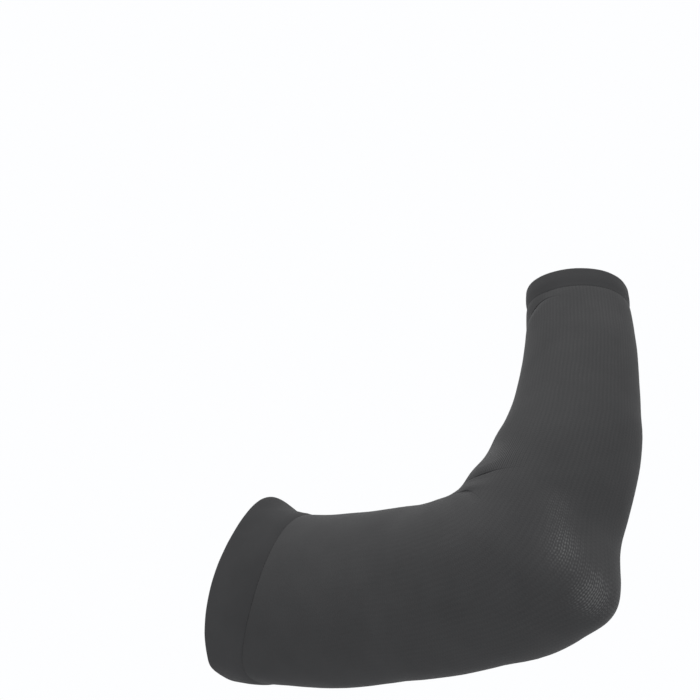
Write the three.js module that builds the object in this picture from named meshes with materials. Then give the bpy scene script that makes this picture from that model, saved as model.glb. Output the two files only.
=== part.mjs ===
// Arm compression sleeve in its worn shape: a knitted tube, bent at the elbow, with a
// doubled hem at each end.
//
// Millimetres, +Z up. The origin is where the axes of the upper arm and the forearm
// cross, just inside the point of the elbow. The forearm rises along +Z, the upper arm
// runs towards -X, and both axes lie in the XZ plane.

import * as THREE from 'three';
import { LoftGeometry } from 'three/addons/geometries/LoftGeometry.js';
import { mergeVertices } from 'three/addons/utils/BufferGeometryUtils.js';

// Lengths of the two halves, each from its rim to the origin.
const upperArmLength = 220;
const forearmLength = 201;

// The bend of the elbow: the angle between the two halves in degrees, and the radius of
// the centre line round it.
const elbowAngle = 79;
const bendRadius = 87;

// How deep the sleeve is from its inner side to its outer side, at four places.
const bicepsDepth = 116;
const elbowDepth = 110;
const forearmDepth = 79;
const wristDepth = 62;

// The bone at the point of the elbow: how far it pushes the cloth out, and half the
// length of the cloth that it lifts.
const elbowPointReach = 23;
const elbowPointSpread = 13;

// Each rim leans, with its outer side further out, in degrees, and the inner and outer
// sides of its saddle both reach further out than its flanks.
const upperRimLean = 5;
const upperRimSaddle = 10;
const wristRimLean = 2;
const wristRimSaddle = 2;

// Cloth.
const knitThickness = 1.2;
const hemThickness = 2.2;
const hemStandsProud = 0.6;
const seamGap = 0.3;
const wristCuffLength = 13;

// The upper hem is narrower at the outer side, where its seam runs closer to the rim: how
// sharply that falls off round the arm, and the length it takes to die out down the arm.
const upperCuffLength = 34;
const upperCuffOuterLength = 21;
const seamBendSharpness = 7;
const seamFadeLength = 40;

// Folds: the depth and the half width of the deepest one, and half its length.
const foldDepth = 1.9;
const foldHalfWidth = 4.5;
const foldHalfLength = 26;

// Mesh steps: columns round the arm, the spacing of the rings along it, the step that a
// slope is measured over, and how close two points are to count as one.
const columnsAround = 40;
const ringSpacing = 8;
const bendRingSpacing = 4.8;
const slopeStep = 0.01;
const mergeDistance = 1e-4;

// The faded black yarn.
const knitColour = 0x434346;
const hemColour = 0x3e3e41;
const yarnRoughness = 0.92;

// A place along the arm is given by a station: 0 to 1 is the straight part of the upper
// arm, 1 to 2 the bend, and 2 to 3 the straight part of the forearm.
// Each row is a section: depth is a share of the named size, and width and shift are
// shares of that section's own depth. Shift moves the section towards the inner side.
const sectionTable = [
	{ at: 0.00, size: bicepsDepth, depth: 0.990, width: 0.81, shift: 0.005 },
	{ at: 0.14, size: bicepsDepth, depth: 0.935, width: 0.87, shift: -0.030 },
	{ at: 0.32, size: bicepsDepth, depth: 0.910, width: 0.84, shift: -0.045 },
	{ at: 0.64, size: bicepsDepth, depth: 0.920, width: 0.84, shift: -0.040 },
	{ at: 1.02, size: bicepsDepth, depth: 0.890, width: 0.86, shift: 0.020 },
	{ at: 1.25, size: elbowDepth, depth: 0.960, width: 0.88, shift: 0.005 },
	{ at: 1.44, size: elbowDepth, depth: 1.020, width: 0.89, shift: -0.065 },
	{ at: 1.60, size: elbowDepth, depth: 0.895, width: 0.90, shift: -0.005 },
	{ at: 1.79, size: elbowDepth, depth: 0.810, width: 0.92, shift: 0.040 },
	{ at: 2.05, size: forearmDepth, depth: 0.990, width: 0.94, shift: 0.025 },
	{ at: 2.54, size: forearmDepth, depth: 0.860, width: 0.94, shift: 0.025 },
	{ at: 3.00, size: wristDepth, depth: 0.975, width: 0.97, shift: 0.120 },
];

// Where the bone pushes the cloth out, and how sharply its hill falls off round the arm.
const elbowPointStation = 1.56;
const elbowPointSharpness = 2.5;

// Each row is a fold: around is its place in degrees from the inner side, with the -Y side
// positive, turn is its slant across the arm in degrees, and depth, width and length are
// shares of the named fold sizes.
const foldTable = [
	{ at: 1.59, around: 60, turn: 38, depth: 0.90, width: 0.90, length: 0.90 },
	{ at: 1.50, around: 60, turn: 18, depth: 0.70, width: 0.80, length: 0.70 },
	{ at: 1.45, around: -26, turn: -6, depth: 1.00, width: 1.00, length: 1.00 },
	{ at: 1.62, around: -62, turn: -34, depth: 0.95, width: 1.00, length: 0.90 },
	{ at: 2.79, around: 62, turn: 24, depth: 0.45, width: 0.90, length: 0.70 },
];

const straightBend = THREE.MathUtils.degToRad( 180 - elbowAngle );
const tangentLength = bendRadius * Math.tan( straightBend / 2 );
const zoneLengths = [
	upperArmLength - tangentLength,
	bendRadius * straightBend,
	forearmLength - tangentLength,
];
const sleeveLength = zoneLengths[ 0 ] + zoneLengths[ 1 ] + zoneLengths[ 2 ];

// The distance along the centre line, from the upper rim, of a station.
function distanceAt( station ) {

	let distance = 0;
	for ( let zone = 0; zone < 3; zone ++ ) {

		distance += zoneLengths[ zone ] * THREE.MathUtils.clamp( station - zone, 0, 1 );

	}

	return distance;

}

// The station of a distance. It runs on past both rims.
function stationAt( distance ) {

	const pastUpperArm = distance - zoneLengths[ 0 ];
	const pastBend = pastUpperArm - zoneLengths[ 1 ];
	if ( pastUpperArm < 0 ) return distance / zoneLengths[ 0 ];
	if ( pastBend < 0 ) return 1 + pastUpperArm / zoneLengths[ 1 ];
	return 2 + pastBend / zoneLengths[ 2 ];

}

// The centre line: its point, its direction and the direction of the inner side.
function armFrame( distance ) {

	const turned = THREE.MathUtils.clamp( ( distance - zoneLengths[ 0 ] ) / bendRadius, 0, straightBend );
	const heading = Math.PI / 2 - straightBend + turned;
	const along = new THREE.Vector3( Math.cos( heading ), 0, Math.sin( heading ) );
	const inward = new THREE.Vector3( - Math.sin( heading ), 0, Math.cos( heading ) );
	const straight = distance - zoneLengths[ 0 ] - bendRadius * turned;
	const centre = new THREE.Vector3( - bendRadius, 0, tangentLength );
	centre.addScaledVector( inward, - bendRadius ).addScaledVector( along, straight );
	return { centre, along, inward };

}

const sectionSpline = new THREE.CubicInterpolant(
	sectionTable.map( ( row ) => row.at ),
	sectionTable.flatMap( ( row ) => {

		const depth = row.size * row.depth;
		return [ depth, depth * row.width, depth * row.shift ];

	} ),
	3
);

// A soft hill, 1 at its middle and near 0 at twice its half width.
function hill( distance, halfWidth ) {

	return Math.exp( - ( ( distance / halfWidth ) ** 2 ) );

}

// How far the folds push the cloth in at a place.
function foldRelief( distance, angle, girthRadius ) {

	let relief = 0;
	for ( const fold of foldTable ) {

		const degreesOff = THREE.MathUtils.radToDeg( angle ) - fold.around;
		const wrapped = THREE.MathUtils.euclideanModulo( degreesOff + 180, 360 ) - 180;
		const aside = THREE.MathUtils.degToRad( wrapped ) * girthRadius;
		const ahead = distance - distanceAt( fold.at );
		const turn = THREE.MathUtils.degToRad( fold.turn );
		const across = ahead * Math.cos( turn ) - aside * Math.sin( turn );
		const onward = ahead * Math.sin( turn ) + aside * Math.cos( turn );
		const profile = hill( across, foldHalfWidth * fold.width ) * hill( onward, foldHalfLength * fold.length );
		relief += foldDepth * fold.depth * profile;

	}

	return relief;

}

// How far a place of a rim reaches out past the end of the centre line.
function rimReach( lean, saddle, inner, reachIn ) {

	return saddle * inner ** 2 - Math.tan( THREE.MathUtils.degToRad( lean ) ) * reachIn;

}

// How far a place slides along the arm. The reach of each rim dies out along its half of
// the arm, and the seam of the upper hem slides towards the rim at the outer side.
function slideAlong( distance, inner, reachIn ) {

	const station = stationAt( distance );
	const nearUpperRim = 1 - THREE.MathUtils.smoothstep( station, 0, 1 );
	const nearWristRim = THREE.MathUtils.smoothstep( station, 2, 3 );
	const upperReach = rimReach( upperRimLean, upperRimSaddle, inner, reachIn );
	const wristReach = rimReach( wristRimLean, wristRimSaddle, inner, reachIn );
	const pastSeam = distance - upperCuffLength;
	const nearSeam = pastSeam > 0 ? hill( pastSeam, seamFadeLength ) : distance / upperCuffLength;
	const outer = ( 1 - inner ) / 2;
	const narrowing = ( upperCuffLength - upperCuffOuterLength ) * outer ** seamBendSharpness;
	return wristReach * nearWristRim - upperReach * nearUpperRim - narrowing * nearSeam;

}

// The outside of the cloth. The angle is 0 at the inner side and 90 degrees towards -Y.
function armSurface( distance, angle ) {

	const { centre, along, inward } = armFrame( distance );
	const station = stationAt( distance );
	const [ depth, width, shift ] = sectionSpline.evaluate( station );
	const inner = Math.cos( angle );
	const side = Math.sin( angle );
	const pastPoint = distance - distanceAt( elbowPointStation );
	const bone = elbowPointReach * hill( pastPoint, elbowPointSpread ) * Math.max( 0, - inner ) ** elbowPointSharpness;
	const pushedIn = foldRelief( distance, angle, ( depth + width ) / 4 );
	const reachIn = shift + ( depth / 2 - pushedIn + bone ) * inner;
	const reachSide = ( width / 2 - pushedIn ) * side;
	const slide = slideAlong( distance, inner, reachIn );
	const point = centre.addScaledVector( inward, reachIn ).addScaledVector( along, slide );
	point.y -= reachSide;
	return point;

}

// A point of the cloth, lifted off that surface along its normal.
function clothPoint( distance, angle, lift ) {

	const point = armSurface( distance, angle );
	const ahead = armSurface( distance + slopeStep, angle ).sub( point );
	const aside = armSurface( distance, angle + slopeStep ).sub( point );
	return point.addScaledVector( aside.cross( ahead ).normalize(), lift );

}

// A closed tube of cloth. Its profile is a loop of places along the arm, each with its
// lift off the surface, and the loop is carried once round the arm.
function clothTube( name, profile, colour ) {

	const rings = profile.map( ( { distance, lift } ) => {

		const ring = [];
		for ( let column = 0; column < columnsAround; column ++ ) {

			ring.push( clothPoint( distance, column / columnsAround * 2 * Math.PI, lift ) );

		}

		return ring;

	} );
	const loft = new LoftGeometry( [ ...rings, rings[ 0 ] ] );
	const skin = new THREE.BufferGeometry();
	skin.setAttribute( 'position', loft.getAttribute( 'position' ) );
	skin.setIndex( loft.getIndex() );
	const geometry = mergeVertices( skin, mergeDistance );
	geometry.computeVertexNormals();
	const material = new THREE.MeshStandardMaterial( { color: colour, roughness: yarnRoughness, metalness: 0 } );
	const mesh = new THREE.Mesh( geometry, material );
	mesh.name = name;
	return mesh;

}

// Places from one end of a stretch to the other, closer together round the bend.
function placesBetween( from, to ) {

	const knots = [ from, distanceAt( 1 ), distanceAt( 2 ), to ];
	const places = [ from ];
	for ( let zone = 0; zone < 3; zone ++ ) {

		const length = knots[ zone + 1 ] - knots[ zone ];
		const steps = Math.ceil( length / ( zone === 1 ? bendRingSpacing : ringSpacing ) );
		for ( let step = 1; step <= steps; step ++ ) {

			places.push( knots[ zone ] + length * step / steps );

		}

	}

	return places;

}

// The single layer of ribbed knit between the two hems.
function knitProfile( from, to ) {

	const places = placesBetween( from, to );
	const outside = places.map( ( distance ) => ( { distance, lift: 0 } ) );
	const inside = places.map( ( distance ) => ( { distance, lift: - knitThickness } ) ).reverse();
	return [ ...outside, ...inside ];

}

// A doubled hem: it stands a little proud of the knit, and both its edges are rounded.
function hemProfile( from, to ) {

	const length = to - from;
	const top = hemStandsProud;
	const bottom = hemStandsProud - hemThickness;
	const middle = ( top + bottom ) / 2;
	const round = hemThickness / 2;
	const waist = top - hemStandsProud / 3;
	return [
		{ distance: from, lift: middle },
		{ distance: from + round * 0.35, lift: top - round * 0.3 },
		{ distance: from + round * 1.3, lift: top },
		{ distance: from + length * 0.35, lift: waist },
		{ distance: from + length * 0.65, lift: waist },
		{ distance: to - round * 1.3, lift: top },
		{ distance: to - round * 0.35, lift: top - round * 0.3 },
		{ distance: to, lift: middle },
		{ distance: to - round * 0.6, lift: bottom },
		{ distance: from + length * 0.5, lift: bottom },
		{ distance: from + round * 0.6, lift: bottom },
	];

}

const upperSeam = upperCuffLength;
const wristSeam = sleeveLength - wristCuffLength;

const sleeve = new THREE.Group();
sleeve.add( clothTube( 'upper_arm_cuff', hemProfile( 0, upperSeam ), hemColour ) );
sleeve.add( clothTube( 'sleeve_body', knitProfile( upperSeam + seamGap, wristSeam - seamGap ), knitColour ) );
sleeve.add( clothTube( 'wrist_cuff', hemProfile( wristSeam, sleeveLength ), hemColour ) );

export default sleeve;
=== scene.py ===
# A knitted arm compression sleeve in its worn bend: a ribbed tube with a doubled hem at
# each end, in a pale studio.
#
# Metres, +Z up. The forearm rises along +Z from the origin, just inside the point of the
# elbow, and the upper arm runs towards -X. Angles round the arm are 0 at the inner side
# of the elbow and a quarter turn at the side that faces -Y.

import math
from collections import namedtuple

import bmesh
import bpy
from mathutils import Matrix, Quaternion, Vector, noise


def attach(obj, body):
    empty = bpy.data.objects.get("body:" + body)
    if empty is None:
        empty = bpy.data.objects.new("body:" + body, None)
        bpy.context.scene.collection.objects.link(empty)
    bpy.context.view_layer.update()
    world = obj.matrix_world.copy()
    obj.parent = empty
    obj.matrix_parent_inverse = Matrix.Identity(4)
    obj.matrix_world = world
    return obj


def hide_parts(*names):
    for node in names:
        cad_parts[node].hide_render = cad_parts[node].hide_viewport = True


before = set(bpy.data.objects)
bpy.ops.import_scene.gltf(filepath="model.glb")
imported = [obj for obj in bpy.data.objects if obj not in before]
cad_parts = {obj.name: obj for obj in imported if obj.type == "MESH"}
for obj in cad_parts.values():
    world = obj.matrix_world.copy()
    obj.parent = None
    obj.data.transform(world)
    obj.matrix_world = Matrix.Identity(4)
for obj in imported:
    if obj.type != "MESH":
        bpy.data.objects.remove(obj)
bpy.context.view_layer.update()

MM = 0.001
FULL_TURN = 2 * math.pi

# The view: the camera's direction from the elbow in degrees, its roll, its distance, its
# focal length in pixels, and the pixel that the origin falls on.
CAMERA_AZIMUTH = 32.49
CAMERA_ELEVATION = -25.00
CAMERA_ROLL = 4.49
CAMERA_DISTANCE = 1.2189
FOCAL_LENGTH_PIXELS = 2184.2
ORIGIN_PIXEL = (565.2, 598.3)
PICTURE_SIDE_PIXELS = 700
SENSOR_WIDTH = 36.0
CLIP_START = 0.02

# The arm: the two straight halves, the bend between them and the rims.
UPPER_ARM_LENGTH = 220 * MM
FOREARM_LENGTH = 201 * MM
BEND_RADIUS = 87 * MM
STRAIGHT_BEND = math.radians(101)
UPPER_RIM_LEAN = math.radians(5)
UPPER_RIM_SADDLE = 10 * MM
WRIST_RIM_LEAN = math.radians(2)
WRIST_RIM_SADDLE = 2 * MM

BICEPS_DEPTH = 116 * MM
ELBOW_DEPTH = 110 * MM
FOREARM_DEPTH = 79 * MM
WRIST_DEPTH = 62 * MM

ELBOW_POINT_REACH = 23 * MM
ELBOW_POINT_SPREAD = 13 * MM
ELBOW_POINT_STATION = 1.56
ELBOW_POINT_SHARPNESS = 2.5

TANGENT_LENGTH = BEND_RADIUS * math.tan(STRAIGHT_BEND / 2)
UPPER_ARM_STRAIGHT = UPPER_ARM_LENGTH - TANGENT_LENGTH
BEND_LENGTH = BEND_RADIUS * STRAIGHT_BEND
FOREARM_STRAIGHT = FOREARM_LENGTH - TANGENT_LENGTH
SLEEVE_LENGTH = UPPER_ARM_STRAIGHT + BEND_LENGTH + FOREARM_STRAIGHT

# Sections along the arm. A station of 0 to 1 is the straight upper arm, 1 to 2 the bend
# and 2 to 3 the straight forearm. Width and shift are shares of the section's depth.
Section = namedtuple("Section", "at depth width shift")
SECTIONS = (
    Section(0.00, BICEPS_DEPTH * 0.990, 0.81, 0.005),
    Section(0.14, BICEPS_DEPTH * 0.935, 0.87, -0.030),
    Section(0.32, BICEPS_DEPTH * 0.910, 0.84, -0.045),
    Section(0.64, BICEPS_DEPTH * 0.920, 0.84, -0.040),
    Section(1.02, BICEPS_DEPTH * 0.890, 0.86, 0.020),
    Section(1.25, ELBOW_DEPTH * 0.960, 0.88, 0.005),
    Section(1.44, ELBOW_DEPTH * 1.020, 0.89, -0.065),
    Section(1.60, ELBOW_DEPTH * 0.895, 0.90, -0.005),
    Section(1.79, ELBOW_DEPTH * 0.810, 0.92, 0.040),
    Section(2.05, FOREARM_DEPTH * 0.990, 0.94, 0.025),
    Section(2.54, FOREARM_DEPTH * 0.860, 0.94, 0.025),
    Section(3.00, WRIST_DEPTH * 0.975, 0.97, 0.120),
)

# Cloth, its hems and their seams.
KNIT_THICKNESS = 1.2 * MM
HEM_THICKNESS = 2.2 * MM
HEM_STANDS_PROUD = 0.6 * MM
UPPER_CUFF_LENGTH = 34 * MM
UPPER_CUFF_OUTER_LENGTH = 21 * MM
SEAM_BEND_SHARPNESS = 7
SEAM_FADE_LENGTH = 40 * MM
WRIST_CUFF_LENGTH = 13 * MM
SEAM_GAP = 0.3 * MM
SEAM_TUCK = 0.25 * MM
SEAM_TUCK_LENGTH = 1.6 * MM
SEAM_CORNER = 0.5 * MM
SEAM_SETTLE = 0.9 * MM
SEAM_SETTLE_LENGTH = 4.5 * MM
SEAM_RIDGE = 0.3 * MM
SEAM_RIDGE_LENGTH = 2.0 * MM
SEAM_THREAD_RADIUS = 0.4 * MM
SEAM_THREAD_SWING = 0.35 * MM
SEAM_THREAD_DEPTH = 0.6 * MM
SEAM_STITCHES = 144

# The knit: its columns and rows of stitches, and the small unevenness of worn cloth. The
# fine part of it is a share of the coarse part.
WALES_AROUND = 96
COURSE_PITCH = 1.15 * MM
LOOSENESS = 0.45 * MM
LOOSENESS_SCALE = 26 * MM
COARSE_SHARE = 0.6
FINE_SHARE = 0.25
FINE_TIMES = 2.7

# Folds: the ones in the cloth's form, the finer ones beside them, and soft puffs. Place is
# the distance along the arm in millimetres, around and turn are in degrees, and depth, width
# and length are in millimetres. A negative depth is a puff. No fold works past its reach.
FOLD_REACH = 60
Fold = namedtuple("Fold", "place around turn depth width length")
FOLDS = (
    Fold(205.0, 60, 38, 0.9, 4.1, 21.0),
    Fold(191.2, 60, 18, 0.9, 3.6, 16.0),
    Fold(183.5, -26, -6, 1.9, 4.5, 26.0),
    Fold(209.6, -62, -34, 1.8, 4.5, 23.0),
    Fold(343.3, 62, 24, 0.7, 4.0, 18.0),
    Fold(210.3, 62, 37, 0.5, 1.6, 15.0),
    Fold(192.2, 60, 34, 0.5, 1.5, 10.0),
    Fold(201.4, 68, 28, -0.4, 2.6, 11.0),
    Fold(217.0, 60, 38, -0.4, 2.6, 14.0),
    Fold(209.0, 34, 34, -2.8, 17.0, 20.0),
    Fold(257.0, 30, 0, -3.1, 21.0, 24.0),
    Fold(182.5, -28, -6, 0.9, 1.9, 17.0),
    Fold(210.5, -62, -34, 1.0, 1.8, 14.0),
    Fold(195.0, -40, -20, -0.5, 2.8, 14.0),
    Fold(343.0, 66, 17, 0.5, 1.4, 9.0),
    Fold(338.4, 66, 20, -0.25, 1.8, 8.0),
    Fold(106.0, 190, 0, -1.3, 16.0, 26.0),
    Fold(-2.0, 27, 0, -2.2, 9.0, 20.0),
)

# Small sways of the upper rim: where they are and how far they spread, in degrees round the
# arm, and how far they reach out in millimetres.
RimSway = namedtuple("RimSway", "around spread reach")
RIM_SWAYS = (RimSway(105, 30, 1.2), RimSway(165, 9, 1.9), RimSway(186, 18, -2.0))
RIM_SWAY_LENGTH = 18 * MM

# Sharp creases at the bottom of some of those folds, too fine for the mesh, drawn as bump
# with painted shade in them, in the same units. Depth is a share. Bow is how far the crease
# curves over its own length, and girth is the way round the arm there, both in millimetres.
Crease = namedtuple("Crease", "place around turn depth width length bow girth")
CREASES = (
    Crease(209.9, 62, 38, 0.9, 0.6, 16.0, -1.4, 293),
    Crease(189.3, 54, 48, 0.7, 0.6, 12.0, -4.0, 300),
    Crease(343.3, 66, 16, 1.0, 0.5, 10.0, -1.5, 192),
    Crease(210.6, -62, -34, 1.0, 0.6, 13.0, 0, 293),
    Crease(182.6, -28, -6, 0.8, 0.6, 15.0, 0, 305),
)

# Patches of the knit, in the same units: where the stitches are pulled open over the bone of
# the elbow, and where the ribs stand apart above the crook. Spread is in degrees.
Patch = namedtuple("Patch", "place around length spread amount")
OPENED_STITCHES = (
    Patch(199.5, 166, 4.6, 9, 1),
    Patch(205, 142, 6, 9, 0.42),
    Patch(216, 132, 7, 9, 0.16),
    Patch(200, 197, 6, 14, 0.6),
)
OPENED_RIBS = (Patch(230, 53, 12, 24, 1), Patch(230, 302, 12, 24, 1))

# Steps of the mesh: columns round the arm, and rings closer together in the folds. Each
# stretch runs to a place and has a step, both in millimetres.
COLUMNS_AROUND = 288
Stretch = namedtuple("Stretch", "to step")
RING_STRETCHES = (Stretch(172, 4.4), Stretch(230, 0.9), Stretch(326, 4.0), Stretch(352, 1.9))
HEM_EDGE_STEPS = 6
HEM_SIDE_STEPS = 14
SEAM_CORNER_STEPS = 3
THREAD_SIDES = 6
THREAD_STEPS_PER_STITCH = 6
SLOPE_STEP = 0.01 * MM
WELD_DISTANCE = 0.001 * MM

CLOTH_UV = "cloth"
STRETCH_MARK = "stretch"
RIB_MARK = "open_ribs"

# Finishes: the dark and the light colour of each yarn, how much painted shade darkens the
# upper, inner side of the upper hem, the scales of the noise in the yarns, and the depth of
# their relief.
KNIT_DARK = (0.034, 0.034, 0.035)
KNIT_LIGHT = (0.120, 0.120, 0.120)
UPPER_HEM_DARK = (0.030, 0.030, 0.031)
UPPER_HEM_LIGHT = (0.062, 0.062, 0.063)
UPPER_HEM_PAINTED_SHADE = 0.61
WRIST_HEM_DARK = (0.035, 0.035, 0.036)
WRIST_HEM_LIGHT = (0.061, 0.061, 0.062)
FLOOR_COLOUR = (0.7, 0.705, 0.715)
CLOUD_SCALE = 34.0
HEM_CLOUD_SCALE = 40.0
PATCH_SCALE = 90.0
FLECK_SCALE = 420.0
FIBRE_SCALE = 2600.0
KNIT_BUMP = 0.2 * MM
HEM_BUMP = 0.16 * MM

# The studio: the floor, the light from all round and the soft box.
FLOOR_SIDE = 12.0
FLOOR_HEIGHT = -0.72
SKY_COLOUR = (0.985, 0.99, 1.0, 1)
SOFT_BOX_PLACE = (0.05, -0.4, 1.0)
SOFT_BOX_AIM = (-0.08, 0, 0.05)
SOFT_BOX_SIDE = 0.9
SOFT_BOX_POWER = 6.0


def place_camera():
    """The camera at the photograph's angle, with the elbow off its middle."""
    azimuth = math.radians(CAMERA_AZIMUTH)
    elevation = math.radians(CAMERA_ELEVATION)
    level = math.cos(elevation)
    back = Vector((math.sin(azimuth) * level, -math.cos(azimuth) * level, math.sin(elevation)))
    look = (-back).to_track_quat("-Z", "Y") @ Quaternion((0, 0, 1), math.radians(CAMERA_ROLL))
    middle = PICTURE_SIDE_PIXELS / 2
    across = (ORIGIN_PIXEL[0] - middle) / FOCAL_LENGTH_PIXELS
    up = (middle - ORIGIN_PIXEL[1]) / FOCAL_LENGTH_PIXELS
    off_middle = Vector((0, 0, -1)).rotation_difference(Vector((across, up, -1)))
    lens = bpy.data.cameras.new("camera")
    lens.sensor_width = SENSOR_WIDTH
    lens.lens = FOCAL_LENGTH_PIXELS / PICTURE_SIDE_PIXELS * SENSOR_WIDTH
    lens.clip_start = CLIP_START
    camera = bpy.data.objects.new("camera", lens)
    bpy.context.scene.collection.objects.link(camera)
    camera.location = back * CAMERA_DISTANCE
    camera.rotation_mode = "QUATERNION"
    camera.rotation_quaternion = look @ off_middle.inverted()
    bpy.context.scene.camera = camera


def clamp(value, low, high):
    """A value kept between two others."""
    return min(max(value, low), high)


def hill(distance, half_width):
    """A soft hill, 1 at its middle and near 0 at twice its half width."""
    return math.exp(-((distance / half_width) ** 2))


def station_at(distance):
    """The station of a distance along the arm. It runs on past both rims."""
    past_upper_arm = distance - UPPER_ARM_STRAIGHT
    past_bend = past_upper_arm - BEND_LENGTH
    if past_upper_arm < 0:
        return distance / UPPER_ARM_STRAIGHT
    if past_bend < 0:
        return 1 + past_upper_arm / BEND_LENGTH
    return 2 + past_bend / FOREARM_STRAIGHT


def distance_at(station):
    """The distance along the arm of a station."""
    lengths = (UPPER_ARM_STRAIGHT, BEND_LENGTH, FOREARM_STRAIGHT)
    return sum(length * clamp(station - zone, 0, 1) for zone, length in enumerate(lengths))


def arm_frame(distance):
    """The centre line: its point, its direction and the direction of the inner side."""
    turned = clamp((distance - UPPER_ARM_STRAIGHT) / BEND_RADIUS, 0, STRAIGHT_BEND)
    heading = math.pi / 2 - STRAIGHT_BEND + turned
    along = Vector((math.cos(heading), 0, math.sin(heading)))
    inward = Vector((-math.sin(heading), 0, math.cos(heading)))
    straight = distance - UPPER_ARM_STRAIGHT - BEND_RADIUS * turned
    pivot = Vector((-BEND_RADIUS, 0, TANGENT_LENGTH))
    return pivot - inward * BEND_RADIUS + along * straight, along, inward


def section_numbers(section):
    """The depth, width and inward shift of a section."""
    return Vector((section.depth, section.depth * section.width, section.depth * section.shift))


def section_at(station):
    """Those numbers anywhere along the arm, on a smooth curve through the sections."""
    station = clamp(station, SECTIONS[0].at, SECTIONS[-1].at)
    after = next(row for row in range(1, len(SECTIONS)) if station <= SECTIONS[row].at)
    span = SECTIONS[after].at - SECTIONS[after - 1].at
    share = (station - SECTIONS[after - 1].at) / span

    def step(row):
        rise = section_numbers(SECTIONS[row]) - section_numbers(SECTIONS[row - 1])
        return rise / (SECTIONS[row].at - SECTIONS[row - 1].at)

    here = step(after)
    slope_before = (step(after - 1) + here) / 2 if after > 1 else here
    slope_after = (here + step(after + 1)) / 2 if after < len(SECTIONS) - 1 else here
    square = share * share
    cube = square * share
    blend = 3 * square - 2 * cube
    start = section_numbers(SECTIONS[after - 1])
    end = section_numbers(SECTIONS[after])
    bend_in = slope_before * span * (cube - 2 * square + share)
    bend_out = slope_after * span * (cube - square)
    return start * (1 - blend) + end * blend + bend_in + bend_out


def fold_relief(distance, angle, girth_radius):
    """How far the folds push the cloth in at a place."""
    relief = 0
    for fold in FOLDS:
        ahead = distance / MM - fold.place
        if abs(ahead) > FOLD_REACH:
            continue
        degrees_off = (math.degrees(angle) - fold.around + 180) % 360 - 180
        aside = math.radians(degrees_off) * girth_radius / MM
        turn = math.radians(fold.turn)
        across = ahead * math.cos(turn) - aside * math.sin(turn)
        onward = ahead * math.sin(turn) + aside * math.cos(turn)
        relief += fold.depth * hill(across, fold.width) * hill(onward, fold.length)
    return relief * MM


def smooth_step(value, low, high):
    """A smooth rise from 0 to 1 between two values."""
    share = clamp((value - low) / (high - low), 0, 1)
    return share * share * (3 - 2 * share)


def rim_reach(lean, saddle, inner, reach_in):
    """How far a place of a rim reaches out past the end of the centre line."""
    return saddle * inner ** 2 - math.tan(lean) * reach_in


def rim_sway(angle):
    """How far the small sways of the upper rim reach out at an angle."""
    around = math.degrees(angle) % 360
    return sum(sway.reach * hill(around - sway.around, sway.spread) for sway in RIM_SWAYS) * MM


def slide_along(distance, angle, reach_in):
    """How far a place slides along the arm: with the rims, and with the seam of the upper
    hem, which runs closer to the rim at the outer side."""
    station = station_at(distance)
    inner = math.cos(angle)
    near_upper_rim = 1 - smooth_step(station, 0, 1)
    near_wrist_rim = smooth_step(station, 2, 3)
    upper_reach = rim_reach(UPPER_RIM_LEAN, UPPER_RIM_SADDLE, inner, reach_in)
    wrist_reach = rim_reach(WRIST_RIM_LEAN, WRIST_RIM_SADDLE, inner, reach_in)
    past_seam = distance - UPPER_CUFF_LENGTH
    near_seam = hill(past_seam, SEAM_FADE_LENGTH) if past_seam > 0 else distance / UPPER_CUFF_LENGTH
    outer = (1 - inner) / 2
    narrowing = (UPPER_CUFF_LENGTH - UPPER_CUFF_OUTER_LENGTH) * outer ** SEAM_BEND_SHARPNESS
    swayed = rim_sway(angle) * hill(distance, RIM_SWAY_LENGTH)
    return wrist_reach * near_wrist_rim - upper_reach * near_upper_rim - swayed - narrowing * near_seam


def arm_surface(distance, angle):
    """The outside of the cloth."""
    centre, along, inward = arm_frame(distance)
    station = station_at(distance)
    depth, width, shift = section_at(station)
    inner = math.cos(angle)
    past_point = distance - distance_at(ELBOW_POINT_STATION)
    bone = hill(past_point, ELBOW_POINT_SPREAD) * max(0, -inner) ** ELBOW_POINT_SHARPNESS
    pushed_in = fold_relief(distance, angle, (depth + width) / 4)
    reach_in = shift + (depth / 2 - pushed_in + ELBOW_POINT_REACH * bone) * inner
    reach_side = (width / 2 - pushed_in) * math.sin(angle)
    slide = slide_along(distance, angle, reach_in)
    point = centre + inward * reach_in + along * slide
    point.y -= reach_side
    return point


def cloth_point(distance, angle, lift):
    """A point of the cloth, lifted off that surface along its normal."""
    point = arm_surface(distance, angle)
    ahead = arm_surface(distance + SLOPE_STEP, angle) - point
    aside = arm_surface(distance, angle + SLOPE_STEP / MM) - point
    return point + aside.cross(ahead).normalized() * lift


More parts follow.
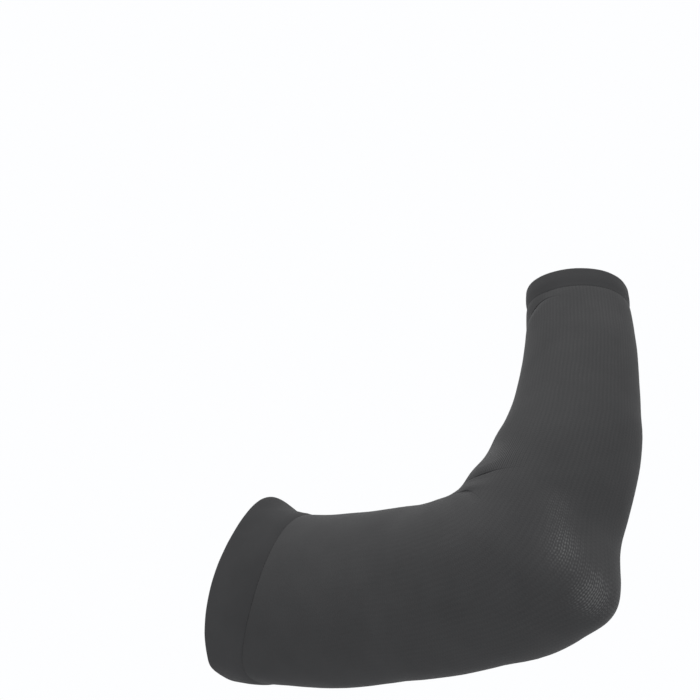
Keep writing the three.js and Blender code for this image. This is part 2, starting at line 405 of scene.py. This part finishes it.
def roll_tube(name, rows, columns, place_at, closed):
    """A tube of cloth. place_at gives each place of a row its distance along the arm, its
    angle and its lift. A flat grid takes one ring for each row, and is welded along its
    side, and also end to end where the rows close on themselves."""
    mesh = bmesh.new()
    cloth_uv = mesh.loops.layers.uv.new(CLOTH_UV)
    stretch_mark = mesh.verts.layers.float.new(STRETCH_MARK)
    rib_mark = mesh.verts.layers.float.new(RIB_MARK)
    segments = rows if closed else rows - 1
    bmesh.ops.create_grid(mesh, x_segments=columns, y_segments=segments, size=0.5)
    lengths = [0.0]
    for row in range(segments):
        before = place_at(row, 0.5)
        after = place_at((row + 1) % rows, 0.5)
        lengths.append(lengths[-1] + math.hypot(after[0] - before[0], after[2] - before[2]))
    for face in mesh.faces:
        for loop in face.loops:
            row = round((loop.vert.co.y + 0.5) * segments)
            loop[cloth_uv].uv = (loop.vert.co.x + 0.5, lengths[row])
    for vert in mesh.verts:
        row = round((vert.co.y + 0.5) * segments) % rows
        distance, angle, lift = place_at(row, vert.co.x + 0.5)
        vert[stretch_mark] = opened_at(OPENED_STITCHES, distance, angle)
        vert[rib_mark] = opened_at(OPENED_RIBS, distance, angle)
        vert.co = cloth_point(distance, angle, lift)
    bmesh.ops.remove_doubles(mesh, verts=mesh.verts, dist=WELD_DISTANCE)
    bmesh.ops.recalc_face_normals(mesh, faces=mesh.faces)
    for face in mesh.faces:
        face.smooth = True
    for edge in mesh.edges:
        edge.smooth = not edge.is_boundary
    data = bpy.data.meshes.new(name)
    mesh.to_mesh(data)
    mesh.free()
    piece = bpy.data.objects.new(name, data)
    bpy.context.scene.collection.objects.link(piece)
    return piece


def opened_at(patches, distance, angle):
    """How far the knit is opened at a place by the patches of one kind, from 0 to 1."""
    place = distance / MM
    around = math.degrees(angle)
    amounts = (
        patch.amount * hill(place - patch.place, patch.length) * hill(around - patch.around, patch.spread)
        for patch in patches
    )
    return clamp(sum(amounts), 0, 1)


def slack(distance, angle):
    """The small unevenness of worn cloth."""
    place = arm_surface(distance, angle) / LOOSENESS_SCALE
    coarse = LOOSENESS * noise.noise(place) * COARSE_SHARE
    return coarse + LOOSENESS * FINE_SHARE * noise.noise(place * FINE_TIMES)


def knit_lift(distance, angle):
    """The relief of the ribbed knit: its slackness and its tucked ends."""
    upper_end = UPPER_CUFF_LENGTH + SEAM_GAP
    wrist_end = SLEEVE_LENGTH - WRIST_CUFF_LENGTH - SEAM_GAP
    ends = hill(distance - upper_end, SEAM_TUCK_LENGTH) + hill(distance - wrist_end, SEAM_TUCK_LENGTH)
    return slack(distance, angle) - SEAM_TUCK * ends


def hem_lift(distance, angle):
    """The relief of a hem: it settles down to the knit at its seam, past a soft ridge."""
    to_upper_seam = UPPER_CUFF_LENGTH - distance
    to_wrist_seam = distance - (SLEEVE_LENGTH - WRIST_CUFF_LENGTH)
    settled = hill(to_upper_seam, SEAM_SETTLE_LENGTH) + hill(to_wrist_seam, SEAM_SETTLE_LENGTH)
    inner_share = (1 + math.cos(angle)) / 2
    ridge = hill(to_upper_seam - 2 * SEAM_RIDGE_LENGTH, SEAM_RIDGE_LENGTH) * inner_share
    return slack(distance, angle) + SEAM_RIDGE * ridge - SEAM_SETTLE * settled


def knit_places():
    """The rings of the ribbed tube, from one seam to the other."""
    start = UPPER_CUFF_LENGTH + SEAM_GAP
    end = SLEEVE_LENGTH - WRIST_CUFF_LENGTH - SEAM_GAP
    places = [start]
    for stretch in RING_STRETCHES:
        finish = min(stretch.to * MM, end)
        begin = places[-1]
        steps = max(1, math.ceil((finish - begin) / (stretch.step * MM)))
        places += [begin + (finish - begin) * step / steps for step in range(1, steps + 1)]
    return places


def turned_edge(place, lift, radius, first, last, steps):
    """Points on part of a circle round a place, from one angle to another in degrees."""
    points = []
    for step in range(steps + 1):
        turn = math.radians(first + (last - first) * step / steps)
        points.append((place + radius * math.cos(turn), lift + radius * math.sin(turn)))
    return points


def straight_side(begin, end, lift):
    """Points between two edges of a hem, without its ends."""
    shares = [step / HEM_SIDE_STEPS for step in range(1, HEM_SIDE_STEPS)]
    return [(begin + (end - begin) * share, lift) for share in shares]


def hem_profile(rim, seam):
    """The section of a doubled hem: folded over at the rim, and pressed flat at the seam."""
    half = HEM_THICKNESS / 2
    inside = HEM_STANDS_PROUD - HEM_THICKNESS
    way = 1 if seam > rim else -1
    fold = turned_edge(0, HEM_STANDS_PROUD - half, half, 270, 90, HEM_EDGE_STEPS)
    top = HEM_STANDS_PROUD - SEAM_CORNER
    foot = inside + SEAM_CORNER
    top_corner = turned_edge(0, top, SEAM_CORNER, 90, 0, SEAM_CORNER_STEPS)
    foot_corner = turned_edge(0, foot, SEAM_CORNER, 0, -90, SEAM_CORNER_STEPS)
    rim_side = rim + way * half
    seam_side = seam - way * SEAM_CORNER
    profile = [(rim_side + way * step, lift) for step, lift in fold]
    profile += straight_side(rim_side, seam_side, HEM_STANDS_PROUD)
    profile += [(seam_side + way * step, lift) for step, lift in top_corner + foot_corner]
    profile += straight_side(seam_side, rim_side, inside)
    return profile


def make_sleeve_body():
    """The ribbed tube between the two hems, with its wall turned inwards."""
    places = knit_places()

    def place_at(row, share):
        angle = share * FULL_TURN
        return places[row], angle, knit_lift(places[row], angle)

    piece = roll_tube("ribbed_tube", len(places), COLUMNS_AROUND, place_at, closed=False)
    wall = piece.modifiers.new("wall", "SOLIDIFY")
    wall.thickness = KNIT_THICKNESS
    wall.offset = -1
    return piece


def make_hem(name, rim, seam):
    """A doubled hem, closed all round."""
    profile = hem_profile(rim, seam)

    def place_at(row, share):
        angle = share * FULL_TURN
        distance, lift = profile[row]
        return distance, angle, lift + hem_lift(distance, angle)

    return roll_tube(name, len(profile), COLUMNS_AROUND, place_at, closed=True)


def make_seam_thread(name, seam):
    """The thread that joins a hem to the knit, swinging to and fro across their seam."""
    section = turned_edge(0, 0, SEAM_THREAD_RADIUS, 360, 360 / THREAD_SIDES, THREAD_SIDES - 1)

    def place_at(row, share):
        angle = share * FULL_TURN
        swing = SEAM_THREAD_SWING * math.sin(share * SEAM_STITCHES * FULL_TURN)
        across, lift = section[row]
        distance = seam + swing + across
        return distance, angle, lift - SEAM_THREAD_DEPTH + slack(seam, angle)

    columns = SEAM_STITCHES * THREAD_STEPS_PER_STITCH
    return roll_tube(name, len(section), columns, place_at, closed=True)


class Wire:
    """A socket of a material, so that shader maths can be written as expressions."""

    def __init__(self, tree, socket):
        self.tree = tree
        self.socket = socket

    def node(self, kind, settings, inputs, output=0):
        return add_node(self.tree, kind, settings, inputs, output)

    def math(self, operation, *values):
        return self.node("ShaderNodeMath", {"operation": operation}, dict(enumerate(values)))

    def __add__(self, other):
        return self.math("ADD", self, other)

    def __radd__(self, other):
        return self.math("ADD", other, self)

    def __sub__(self, other):
        return self.math("SUBTRACT", self, other)

    def __mul__(self, other):
        return self.math("MULTIPLY", self, other)

    def __truediv__(self, other):
        return self.math("DIVIDE", self, other)

    def __abs__(self):
        return self.math("ABSOLUTE", self)


def add_node(tree, kind, settings, inputs, output=0):
    """Add a node: its settings first, then the value or the link of each socket."""
    node = tree.nodes.new(kind)
    for name, value in settings.items():
        setattr(node, name, value)
    for name, value in inputs.items():
        if isinstance(value, Wire):
            tree.links.new(value.socket, node.inputs[name])
        else:
            node.inputs[name].default_value = value
    return Wire(tree, node.outputs[output])


def wave(turns):
    """A cosine of a number of turns, from 0 to 1."""
    return turns.math("COSINE", turns * FULL_TURN) * 0.5 + 0.5


def mixed(factor, low, high):
    """A colour between two others."""
    return factor.node(
        "ShaderNodeMix", {"data_type": "RGBA"}, {0: factor, 6: (*low, 1), 7: (*high, 1)}, 2
    )


def cloth_noise(tree, scale, detail):
    """Smooth noise fixed to the cloth, from 0 to 1."""
    place = add_node(tree, "ShaderNodeTexCoord", {}, {}, 3)
    return add_node(
        tree, "ShaderNodeTexNoise", {}, {"Vector": place, "Scale": scale, "Detail": detail}
    )


def new_cloth_material(name):
    """A material with its shader, its tree and the two places on the cloth."""
    material = bpy.data.materials.new(name)
    material.use_nodes = True
    tree = material.node_tree
    shader = tree.nodes["Principled BSDF"]
    shader.inputs["Specular IOR Level"].default_value = 0.12
    shader.inputs["Sheen Weight"].default_value = 0.07
    shader.inputs["Sheen Roughness"].default_value = 0.3
    shader.inputs["Sheen Tint"].default_value = (0.8, 0.8, 0.8, 1)
    uv = add_node(tree, "ShaderNodeUVMap", {"uv_map": CLOTH_UV}, {})
    around = add_node(tree, "ShaderNodeSeparateXYZ", {}, {"Vector": uv}, 0)
    along = add_node(tree, "ShaderNodeSeparateXYZ", {}, {"Vector": uv}, 1)
    return material, tree, shader, around, along


def feed(tree, shader, colour, roughness, height, depth):
    """Link the varying colour, roughness and relief to the shader."""
    tree.links.new(colour.socket, shader.inputs["Base Color"])
    tree.links.new(roughness.socket, shader.inputs["Roughness"])
    bump = add_node(tree, "ShaderNodeBump", {}, {"Strength": 1.0, "Distance": depth, "Height": height})
    tree.links.new(bump.socket, shader.inputs["Normal"])


def crease_mark(crease, around, along):
    """A thin line along the bottom of a fold: 1 in its middle and 0 beside it."""
    start = UPPER_CUFF_LENGTH + SEAM_GAP
    ahead = along / MM - (crease.place - start / MM)
    aside = (around - crease.around / 360 % 1) * crease.girth
    turn = math.radians(crease.turn)
    onward = ahead * math.sin(turn) + aside * math.cos(turn)
    share = onward / crease.length
    across = ahead * math.cos(turn) - aside * math.sin(turn) - share * share * crease.bow
    off = across / crease.width
    return off.math("POWER", 1 / math.e, off * off + share * share)


def ribbed_knit_material():
    """Faded black rib knit: rows of small chevron stitches, pulled open where it stretches, with painted
    shade in its creases.
    """
    material, tree, shader, around, along = new_cloth_material("ribbed_knit_yarn")
    cloud = cloth_noise(tree, CLOUD_SCALE, 3.0)
    fibre = cloth_noise(tree, FIBRE_SCALE, 2.0)
    patches = cloth_noise(tree, PATCH_SCALE, 2.0)
    flecks = cloth_noise(tree, FLECK_SCALE, 1.0)
    wales = around * WALES_AROUND + patches * 0.7
    crest = wave(wales)
    leg = abs(wales.math("FRACT", wales) - 0.5)
    stitch = wave(along / COURSE_PITCH + leg)
    legs = wave(wales * 2 + 0.5)
    bone_legs = wave(wales * 2.75)
    loop = bone_legs * stitch * (flecks * 5.4 - 1.2)
    stretch = add_node(tree, "ShaderNodeAttribute", {"attribute_name": STRETCH_MARK}, {}, 2)
    open_ribs = add_node(tree, "ShaderNodeAttribute", {"attribute_name": RIB_MARK}, {}, 2)
    # How far along the knit a place is: the knit grows slightly lighter, and its ribs stronger, towards
    # the wrist.
    length_share = along / SLEEVE_LENGTH
    crease_dent_and_shade = sum(crease_mark(crease, around, along) * crease.depth for crease in CREASES)
    ribs = crest * length_share * patches * 0.14 + stitch * 0.035
    plain = ribs + cloud * 0.18 + fibre * 0.24 + length_share * 0.02 - 0.05
    opened = stretch * (loop + bone_legs * 0.4 - 0.02) + open_ribs * (legs * 1.8 - 0.75)
    # Painted shade: the thin creases are darkened in the colour, besides their bump.
    lightness = plain + opened - crease_dent_and_shade * 0.4
    bounded = lightness.node("ShaderNodeClamp", {}, {"Value": lightness})
    colour = mixed(bounded, KNIT_DARK, KNIT_LIGHT)
    relief = crest * length_share * patches * 0.4 + stitch * 0.12
    opened_relief = (loop + bone_legs) * stretch * 0.4 + legs * open_ribs
    height = relief + opened_relief + fibre * 0.4 - crease_dent_and_shade * 3.5
    feed(tree, shader, colour, 0.84 + fibre * 0.14, height, KNIT_BUMP)
    return material


def hem_knit_material(name, dark, light, painted_inner_shade):
    """The same yarn in a smooth doubled hem, with painted shade darkening its inner side, which faces up.
    """
    material, tree, shader, around, along = new_cloth_material(name)
    wales = around * WALES_AROUND * 2
    leg = abs(wales.math("FRACT", wales) - 0.5)
    stitch = wave(along / (COURSE_PITCH * 0.8) + leg)
    cloud = cloth_noise(tree, HEM_CLOUD_SCALE, 3.0)
    fibre = cloth_noise(tree, FIBRE_SCALE, 2.0)
    plain = stitch * 0.11 + cloud * 0.4 + fibre * 0.28
    # Painted shade: the inner side of the hem, its upper side, is darkened as if less light fell on it.
    lightness = plain + painted_inner_shade * 0.54 - wave(around) * painted_inner_shade
    bounded = lightness.node("ShaderNodeClamp", {}, {"Value": lightness})
    colour = mixed(bounded, dark, light)
    height = stitch * 0.3 + fibre * 0.5
    feed(tree, shader, colour, 0.86 + fibre * 0.12, height, HEM_BUMP)
    return material


def plain_material(name, colour, roughness):
    """A plain matt finish for the floor."""
    material = bpy.data.materials.new(name)
    material.use_nodes = True
    shader = material.node_tree.nodes["Principled BSDF"]
    shader.inputs["Base Color"].default_value = (*colour, 1)
    shader.inputs["Roughness"].default_value = roughness
    shader.inputs["Specular IOR Level"].default_value = 0.2
    return material


def lay_floor():
    """A plain pale floor, below the camera's view."""
    mesh = bmesh.new()
    bmesh.ops.create_grid(mesh, x_segments=1, y_segments=1, size=FLOOR_SIDE)
    bmesh.ops.translate(mesh, verts=mesh.verts, vec=(0, 0, FLOOR_HEIGHT))
    data = bpy.data.meshes.new("floor")
    mesh.to_mesh(data)
    mesh.free()
    floor = bpy.data.objects.new("floor", data)
    bpy.context.scene.collection.objects.link(floor)
    data.materials.append(plain_material("pale_floor", FLOOR_COLOUR, 0.9))


def add_soft_box(name, place, aim, side, power):
    """A square soft light that faces a point."""
    light = bpy.data.lights.new(name, "AREA")
    light.shape = "SQUARE"
    light.size = side
    light.energy = power
    lamp = bpy.data.objects.new(name, light)
    bpy.context.scene.collection.objects.link(lamp)
    lamp.location = place
    lamp.rotation_mode = "QUATERNION"
    lamp.rotation_quaternion = (Vector(aim) - Vector(place)).to_track_quat("-Z", "Y")


def light_studio():
    """Soft white light all round, with a large soft box above."""
    world = bpy.data.worlds.new("studio")
    world.use_nodes = True
    background = world.node_tree.nodes["Background"]
    background.inputs["Color"].default_value = SKY_COLOUR
    background.inputs["Strength"].default_value = 1.0
    bpy.context.scene.world = world
    bpy.context.scene.view_settings.view_transform = "Standard"
    add_soft_box("top_light", SOFT_BOX_PLACE, SOFT_BOX_AIM, SOFT_BOX_SIDE, SOFT_BOX_POWER)


def dress(piece, node, material):
    """Give a piece its body and its finish in place of a CAD node."""
    piece.data.materials.append(material)
    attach(piece, "root")
    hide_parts(node)


def main():
    place_camera()
    light_studio()
    lay_floor()
    rib = ribbed_knit_material()
    upper_yarn = hem_knit_material("upper_hem_yarn", UPPER_HEM_DARK, UPPER_HEM_LIGHT, UPPER_HEM_PAINTED_SHADE)
    wrist_yarn = hem_knit_material("wrist_hem_yarn", WRIST_HEM_DARK, WRIST_HEM_LIGHT, 0)
    wrist_seam = SLEEVE_LENGTH - WRIST_CUFF_LENGTH
    body = make_sleeve_body()
    upper_hem = make_hem("upper_arm_hem", 0.0, UPPER_CUFF_LENGTH)
    wrist_hem = make_hem("wrist_hem", SLEEVE_LENGTH, wrist_seam)
    upper_thread = make_seam_thread("upper_seam_thread", UPPER_CUFF_LENGTH + SEAM_GAP / 2)
    wrist_thread = make_seam_thread("wrist_seam_thread", wrist_seam - SEAM_GAP / 2)
    dress(body, "sleeve_body", rib)
    dress(upper_hem, "upper_arm_cuff", upper_yarn)
    dress(wrist_hem, "wrist_cuff", wrist_yarn)
    for thread, yarn in ((upper_thread, upper_yarn), (wrist_thread, wrist_yarn)):
        thread.data.materials.append(yarn)
        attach(thread, "root")


main()
